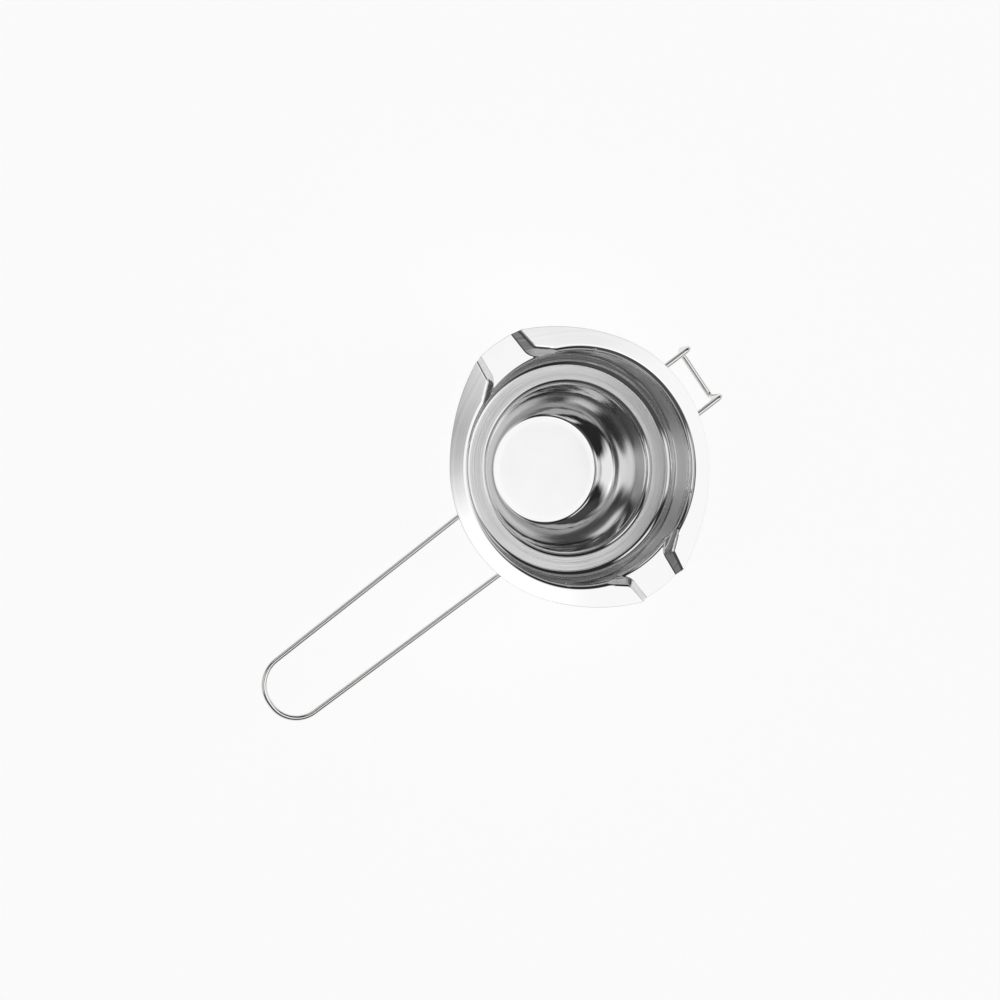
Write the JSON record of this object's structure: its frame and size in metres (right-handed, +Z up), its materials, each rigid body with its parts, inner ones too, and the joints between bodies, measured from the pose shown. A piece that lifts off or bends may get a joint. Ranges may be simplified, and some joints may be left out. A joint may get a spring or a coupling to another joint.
{
  "type": "double boiler insert pan",
  "caption": "Stepped steel melting bowl with pouring spouts, a long wire loop handle and a wire rest hook, hung in a saucepan of hot water.",
  "frame": {"origin": "centre of the bowl's flat base, on the surface that it stands on", "axes": "+Z up along the bowl's axis; -X along the handle, +X towards the rest hook; +Y and -Y towards the spouts"},
  "size_m": [0.271, 0.146, 0.06],
  "materials": {
    "pressed_steel": "polished",
    "wire_steel": "polished",
    "weld_steel": "cleaned weld"
  },
  "bodies": {
    "root": {"bowl": "pressed_steel", "handle_wire": "wire_steel", "rest_hook_wire": "wire_steel", "handle_weld_left": "weld_steel", "handle_weld_right": "weld_steel", "hook_weld_left": "weld_steel", "hook_weld_right": "weld_steel"}
  },
  "joints": []
}
